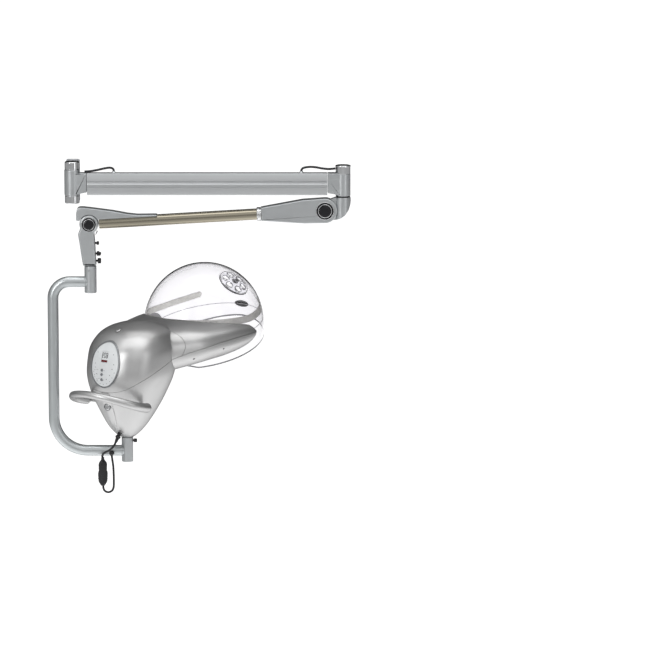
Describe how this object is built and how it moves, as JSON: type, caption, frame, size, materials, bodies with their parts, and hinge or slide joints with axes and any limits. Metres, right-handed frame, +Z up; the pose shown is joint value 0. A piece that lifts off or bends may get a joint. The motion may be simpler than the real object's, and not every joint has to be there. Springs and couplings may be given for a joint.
{
  "type": "hood hair dryer",
  "caption": "Wall-mounted salon hood dryer: jointed boom and spring-balanced arm, C-shaped tube frame, teardrop blower body, two-armed duct fork and clear dome.",
  "frame": {"origin": "centre of the wall plate's rear face, which rests on the wall", "axes": "+Z up, +Y into the wall, +X along the boom as it stands folded parallel to the wall"},
  "size_m": [0.8329, 0.6126, 0.9188],
  "materials": {
    "cast_silver": "satin metallic silver paint on die castings",
    "tube_silver": "satin metallic silver coat on bent tube",
    "shell_silver": "moulded shell with satin metallic silver lacquer",
    "aluminium": "fine-drawn clear anodised extrusion",
    "chrome": "polished chrome plate",
    "nickel_tube": "warm champagne nickel plate on steel tube",
    "steel": "zinc-plated steel",
    "black_plastic": "black moulded plastic",
    "black_gloss": "gloss black moulding",
    "clear_shell": "clear polycarbonate with a faint grey tint",
    "grey_strip": "beige-grey translucent lining strip",
    "panel_face": "pale silver membrane and keys",
    "display_window": "dark red-tinted window",
    "board": "circuit board and mica heater carrier"
  },
  "bodies": {
    "wall_bracket": {"wall_plate": "steel", "wall_screw_lower": "steel", "wall_screw_upper": "steel", "upper_lug": "chrome", "lower_lug": "chrome", "post_pin": "steel"},
    "boom": {"boom_hub": "cast_silver", "hub_bush_upper": "black_plastic", "hub_bush_lower": "black_plastic", "boom_profile": "aluminium", "elbow_hub": "cast_silver", "elbow_cap": "chrome", "boom_lead_left": "black_plastic", "boom_lead_right": "black_plastic"},
    "elbow": {"knuckle": "cast_silver", "elbow_spindle": "steel", "elbow_washer": "black_plastic"},
    "balanced_arm": {"arm_housing": "cast_silver", "arm_pivot_bolt": "black_gloss", "arm_tube": "nickel_tube", "arm_collar": "chrome", "balance_spring": "steel", "arm_end_cover": "cast_silver"},
    "wrist": {"wrist_housing": "cast_silver", "wrist_pivot_bolt": "black_gloss", "wrist_lock_screw": "black_plastic"},
    "wrist_lever": {"wrist_lock_lever": "black_plastic"},
    "wrist_clamp_knob": {"wrist_knob": "black_plastic"},
    "c_frame": {"upper_fitting": "cast_silver", "frame_spigot": "steel", "c_tube": "tube_silver", "lower_stub": "cast_silver", "cord_ball": "black_plastic", "cord_connector": "black_plastic", "cord_loop": "black_plastic"},
    "swivel_lock": {"frame_lock_knob": "black_plastic"},
    "dryer_head": {"lower_shell": "shell_silver", "rear_cover": "shell_silver", "fork_cover": "shell_silver", "control_panel": "panel_face", "display": "display_window", "control_board": "board", "spine_strip": "shell_silver", "handle": "shell_silver", "dome": "clear_shell", "vent_plate": "clear_shell", "badge": "black_gloss", "side_strip_left": "grey_strip", "side_strip_right": "grey_strip", "motor": "steel", "heater": "board", "cord_gland": "black_plastic", "cord_lead": "black_plastic"},
    "fan": {"impeller": "black_plastic"},
    "vent": {"vent_shutter": "black_plastic"},
    "heat_key": {"heat_button": "panel_face"},
    "air_key": {"air_button": "panel_face"},
    "time_key": {"time_button": "panel_face"},
    "power_key": {"power_button": "black_gloss"},
    "thermostat": {"top_knob": "shell_silver"}
  },
  "joints": [
    {"name": "boom_swing", "type": "hinge", "parent": "wall_bracket", "child": "boom", "pos_m": [0, -0.048, 0], "axis": [0, 0, 1], "range_deg": [-180, 0]},
    {"name": "elbow_swing", "type": "hinge", "parent": "boom", "child": "elbow", "pos_m": [0.7408, -0.048, -0.04], "axis": [0, 0, 1], "range_deg": [-180, 180]},
    {"name": "arm_lift", "type": "hinge", "parent": "elbow", "child": "balanced_arm", "pos_m": [0.6916, -0.048, -0.077], "axis": [0, 1, 0], "range_deg": [-45, 0]},
    {"name": "wrist_level", "type": "hinge", "parent": "balanced_arm", "child": "wrist", "pos_m": [0.0454, -0.048, -0.1147], "axis": [0, 1, 0], "range_deg": [0, 45]},
    {"name": "lever_turn", "type": "hinge", "parent": "wrist", "child": "wrist_lever", "pos_m": [0.07, -0.048, -0.197], "axis": [1, 0, 0], "range_deg": [-30, 30]},
    {"name": "wrist_knob_turn", "type": "hinge", "parent": "wrist", "child": "wrist_clamp_knob", "pos_m": [0.07, -0.048, -0.217], "axis": [1, 0, 0], "range_deg": [-180, 180]},
    {"name": "frame_swivel", "type": "hinge", "parent": "wrist", "child": "c_frame", "pos_m": [0.048, -0.048, -0.231], "axis": [0, 0, 1], "range_deg": [-90, 90]},
    {"name": "swivel_lock_turn", "type": "hinge", "parent": "c_frame", "child": "swivel_lock", "pos_m": [0.165, -0.048, -0.719], "axis": [1, 0, 0], "range_deg": [-180, 180]},
    {"name": "hood_swivel", "type": "hinge", "parent": "c_frame", "child": "dryer_head", "pos_m": [0.1458, -0.048, -0.708], "axis": [0, 0, 1], "range_deg": [-60, 60], "deforming": ["cord_lead"]},
    {"name": "fan_spin", "type": "hinge", "parent": "dryer_head", "child": "fan", "pos_m": [0.15904, -0.03043, -0.488], "axis": [0, 0, 1], "continuous": true},
    {"name": "vent_turn", "type": "hinge", "parent": "dryer_head", "child": "vent", "pos_m": [0.43714, 0.33862, -0.334], "axis": [0.4784, 0.6349, 0.6066], "range_deg": [0, 30]},
    {"name": "heat_press", "type": "slide", "parent": "dryer_head", "child": "heat_key", "axis": [0.6018, 0.7986, 0], "range_m": [0, 0.0015], "stiffness_N_per_m": 300, "springref_m": -0.002},
    {"name": "air_press", "type": "slide", "parent": "dryer_head", "child": "air_key", "axis": [0.6018, 0.7986, 0], "range_m": [0, 0.0015], "stiffness_N_per_m": 300, "springref_m": -0.002},
    {"name": "time_press", "type": "slide", "parent": "dryer_head", "child": "time_key", "axis": [0.6018, 0.7986, 0], "range_m": [0, 0.0015], "stiffness_N_per_m": 300, "springref_m": -0.002},
    {"name": "power_press", "type": "slide", "parent": "dryer_head", "child": "power_key", "axis": [0.6018, 0.7986, 0], "range_m": [0, 0.002], "stiffness_N_per_m": 400, "springref_m": -0.002},
    {"name": "thermostat_turn", "type": "hinge", "parent": "dryer_head", "child": "thermostat", "pos_m": [0.12474, -0.07595, -0.407], "axis": [-0.2546, -0.3379, 0.9061], "range_deg": [-135, 135]}
  ],
  "couplings": [
    {"joint": "wrist_level", "follows": "arm_lift", "ratio": -1}
  ]
}
